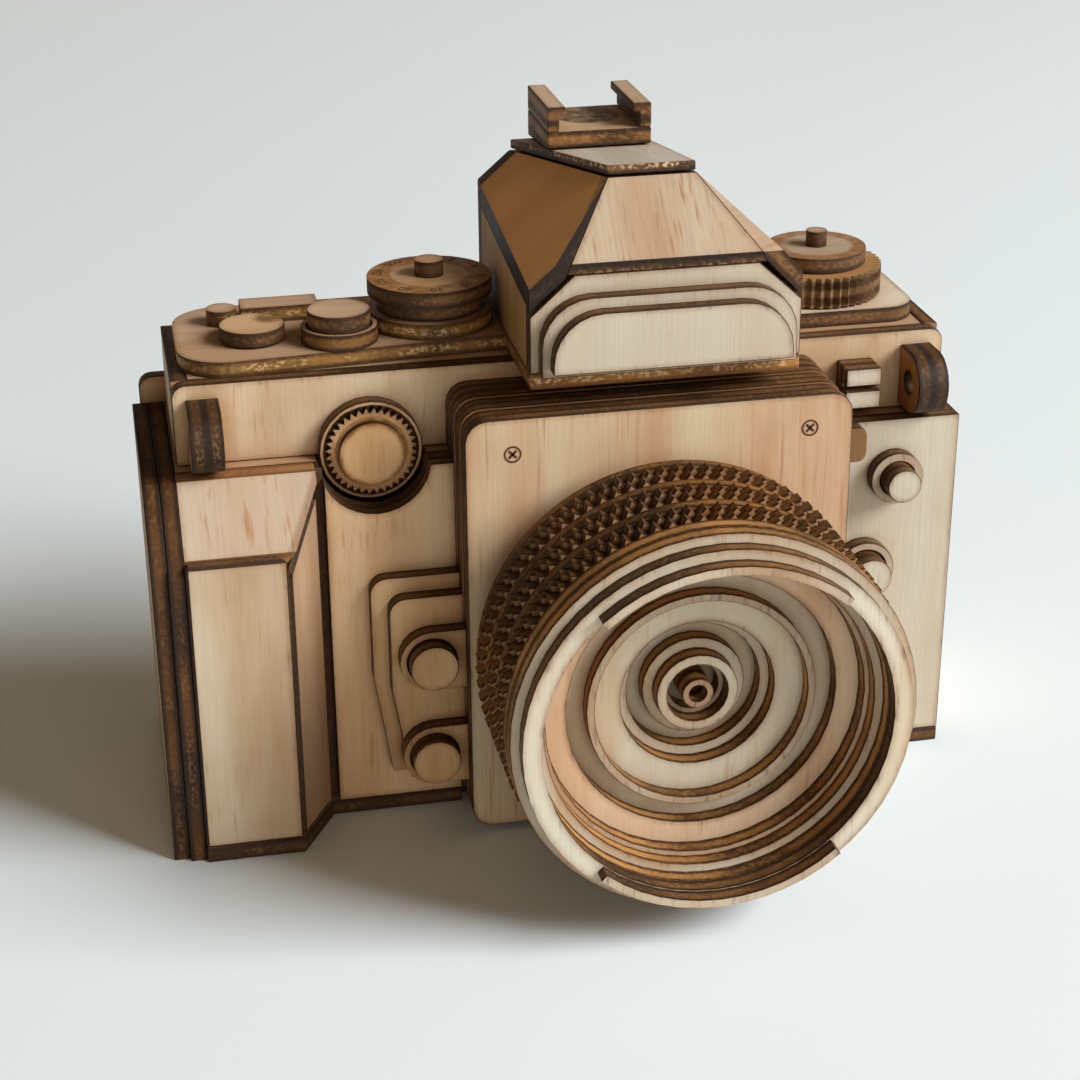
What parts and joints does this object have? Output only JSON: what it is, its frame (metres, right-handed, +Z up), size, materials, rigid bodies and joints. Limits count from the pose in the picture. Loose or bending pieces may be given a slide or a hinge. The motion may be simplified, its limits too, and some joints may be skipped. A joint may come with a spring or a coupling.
{
  "type": "toy camera",
  "caption": "Plywood toy reflex camera with faceted viewfinder prism, stepped lens with turning toothed focus ring, top dials, accessory shoe and press buttons.",
  "frame": {"origin": "on the table under the middle of the upper housing, on the base plate's underside", "axes": "+X to the right seen from the front, +Y to the back, +Z up; the lens points along -Y"},
  "size_m": [0.153, 0.106, 0.1276],
  "materials": {
    "pale_plywood": "bare sanded plywood face with burnt cut edges",
    "scorched_plywood": "bare plywood, mostly cut edge, browned by the laser",
    "burnt_tube": "dark burnt cut edge"
  },
  "bodies": {
    "body": {"base_plate": "pale_plywood", "centre_tube": "burnt_tube", "deck_left": "pale_plywood", "deck_right": "pale_plywood", "eyepiece_frame": "pale_plywood", "fn_bracket": "pale_plywood", "front_block": "pale_plywood", "front_dial_seat": "pale_plywood", "grip_chamfer": "pale_plywood", "grip_front": "pale_plywood", "grip_side_inner": "scorched_plywood", "grip_side_outer": "scorched_plywood", "grip_slope": "pale_plywood", "hood_front": "pale_plywood", "hood_rear": "pale_plywood", "lens_barrel": "pale_plywood", "lens_boss": "pale_plywood", "lens_rim": "pale_plywood", "lens_steps_inner": "pale_plywood", "lens_steps_outer": "pale_plywood", "lower_front": "pale_plywood", "lower_front_left": "pale_plywood", "lower_top": "pale_plywood", "mount_face": "pale_plywood", "mount_stack": "scorched_plywood", "nameplate_front": "pale_plywood", "nameplate_middle": "pale_plywood", "nameplate_rear": "pale_plywood", "prism_base": "pale_plywood", "prism_facet_left": "scorched_plywood", "prism_facet_right": "scorched_plywood", "prism_rear": "scorched_plywood", "prism_roof": "pale_plywood", "prism_slope": "pale_plywood", "prism_wall_left": "scorched_plywood", "prism_wall_right": "scorched_plywood", "rear_cover": "scorched_plywood", "release_ring": "pale_plywood", "right_end": "pale_plywood", "shoe_base": "pale_plywood", "shoe_rail_left": "scorched_plywood", "shoe_rail_right": "scorched_plywood", "shutter_collar": "pale_plywood", "side_button_ring": "pale_plywood", "strap_lug_left": "scorched_plywood", "strap_lug_right": "scorched_plywood", "upper_front": "pale_plywood", "upper_top": "pale_plywood", "upper_walls": "scorched_plywood"},
    "shutter_dial": {"shutter_dial": "pale_plywood"},
    "mode_dial": {"mode_dial": "pale_plywood"},
    "right_dial_lower": {"right_dial_lower": "scorched_plywood"},
    "right_dial_upper": {"right_dial_upper": "pale_plywood"},
    "front_dial": {"front_dial": "pale_plywood"},
    "focus_ring": {"focus_ring": "scorched_plywood"},
    "shutter_button": {"shutter_button": "pale_plywood"},
    "fn_button_upper": {"fn_button_upper": "pale_plywood"},
    "fn_button_lower": {"fn_button_lower": "pale_plywood"},
    "side_button": {"side_button": "pale_plywood"},
    "release_button": {"release_button": "pale_plywood"}
  },
  "joints": [
    {"name": "shutter_dial_turn", "type": "hinge", "parent": "body", "child": "shutter_dial", "pos_m": [-0.0228, 0, 0.0948], "axis": [0, 0, 1], "continuous": true},
    {"name": "mode_dial_turn", "type": "hinge", "parent": "body", "child": "mode_dial", "pos_m": [-0.0563, -0.0033, 0.0903], "axis": [0, 0, 1], "continuous": true},
    {"name": "right_dial_lower_turn", "type": "hinge", "parent": "body", "child": "right_dial_lower", "pos_m": [0.0526, 0.0014, 0.0918], "axis": [0, 0, 1], "continuous": true},
    {"name": "right_dial_upper_turn", "type": "hinge", "parent": "body", "child": "right_dial_upper", "pos_m": [0.0526, 0.0014, 0.0963], "axis": [0, 0, 1], "continuous": true},
    {"name": "front_dial_turn", "type": "hinge", "parent": "body", "child": "front_dial", "pos_m": [-0.0373, -0.02, 0.0718], "axis": [0, -1, 0], "continuous": true},
    {"name": "focus_turn", "type": "hinge", "parent": "body", "child": "focus_ring", "pos_m": [0.0123, -0.0575, 0.0399], "axis": [0, -1, 0], "continuous": true},
    {"name": "shutter_press", "type": "slide", "parent": "body", "child": "shutter_button", "axis": [0, 0, -1], "range_m": [0, 0.0015], "stiffness_N_per_m": 300},
    {"name": "fn_upper_press", "type": "slide", "parent": "body", "child": "fn_button_upper", "axis": [0, 1, 0], "range_m": [0, 0.0012], "stiffness_N_per_m": 300},
    {"name": "fn_lower_press", "type": "slide", "parent": "body", "child": "fn_button_lower", "axis": [0, 1, 0], "range_m": [0, 0.0012], "stiffness_N_per_m": 300},
    {"name": "side_press", "type": "slide", "parent": "body", "child": "side_button", "axis": [0, 1, 0], "range_m": [0, 0.0012], "stiffness_N_per_m": 300},
    {"name": "release_press", "type": "slide", "parent": "body", "child": "release_button", "axis": [0, 1, 0], "range_m": [0, 0.0012], "stiffness_N_per_m": 300}
  ]
}
